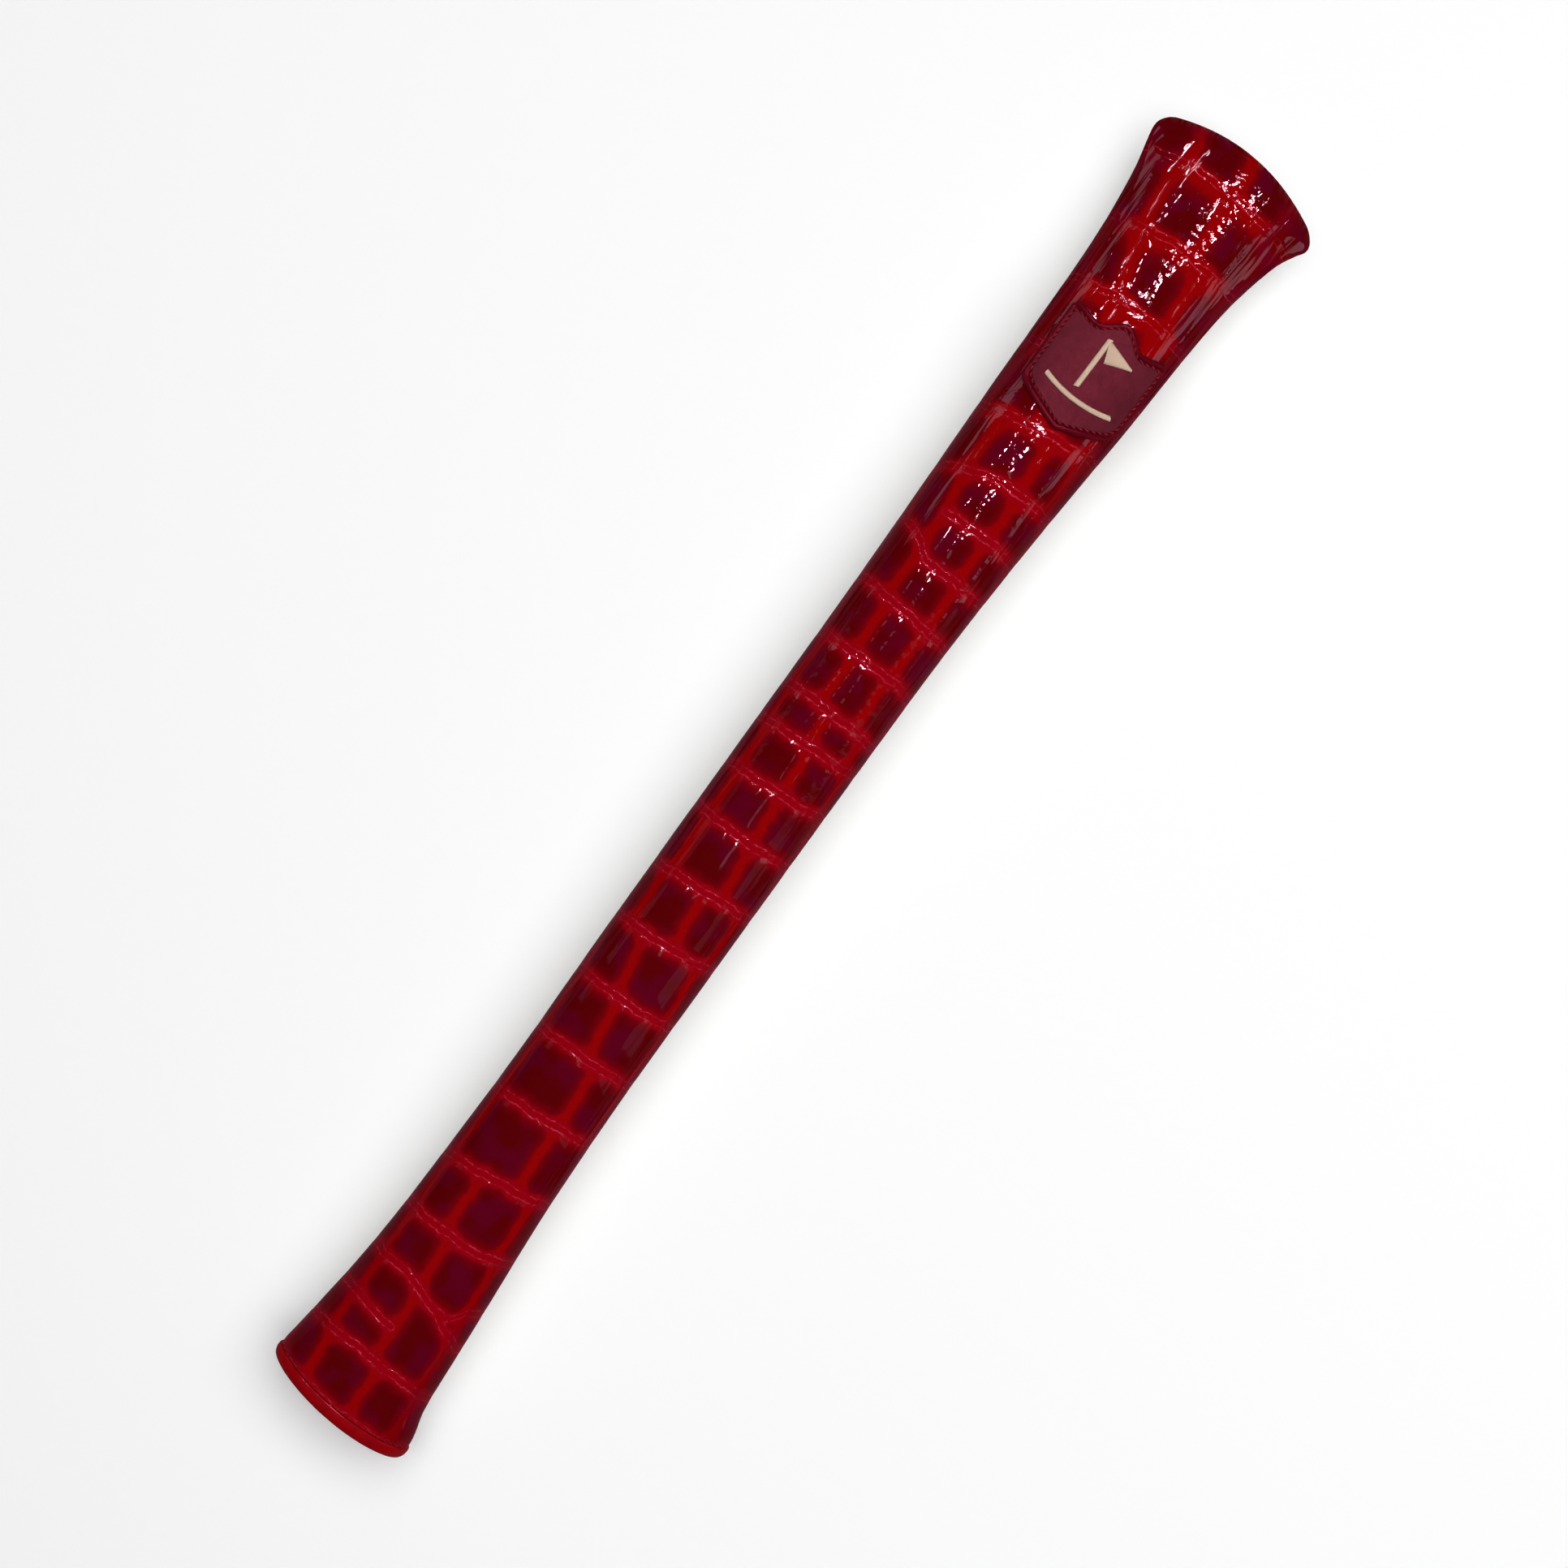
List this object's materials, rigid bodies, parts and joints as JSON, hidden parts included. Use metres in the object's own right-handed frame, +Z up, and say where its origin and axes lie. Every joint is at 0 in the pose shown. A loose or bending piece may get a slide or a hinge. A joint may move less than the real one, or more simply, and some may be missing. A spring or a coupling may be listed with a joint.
{
  "type": "golf alignment stick cover",
  "caption": "Slim flared cover in red croc-embossed patent leather that slips over golf alignment sticks, with a stitched shield patch showing a pin flag.",
  "frame": {"origin": "under the middle of the cover's box, on the surface that its back lies on", "axes": "+X from the open mouth to the closed crown, +Z up out of the front with the patch, +Y to the left of the patch"},
  "size_m": [0.356, 0.0443, 0.0253],
  "materials": {
    "patent_leather": "glossy patent, embossed in rows of square scales",
    "hem_leather": "glossy patent, smooth",
    "rim_leather": "satin",
    "patch_leather": "matt, fine grained",
    "lining_fabric": "short plush",
    "interlining_felt": "needled felt",
    "red_thread": "twisted thread",
    "cream_thread": "satin-stitched embroidery thread"
  },
  "bodies": {
    "root": {"leather_sleeve": "patent_leather", "back_seam_thread": "red_thread", "crown_seam_thread": "red_thread", "interlining": "interlining_felt", "lining_sleeve": "lining_fabric", "mouth_binding": "hem_leather", "mouth_stitching": "red_thread", "patch_backing": "rim_leather", "patch_face": "patch_leather", "patch_stitching": "red_thread", "embroidery_pole": "cream_thread", "embroidery_pennant": "cream_thread", "embroidery_green": "cream_thread"}
  },
  "joints": []
}
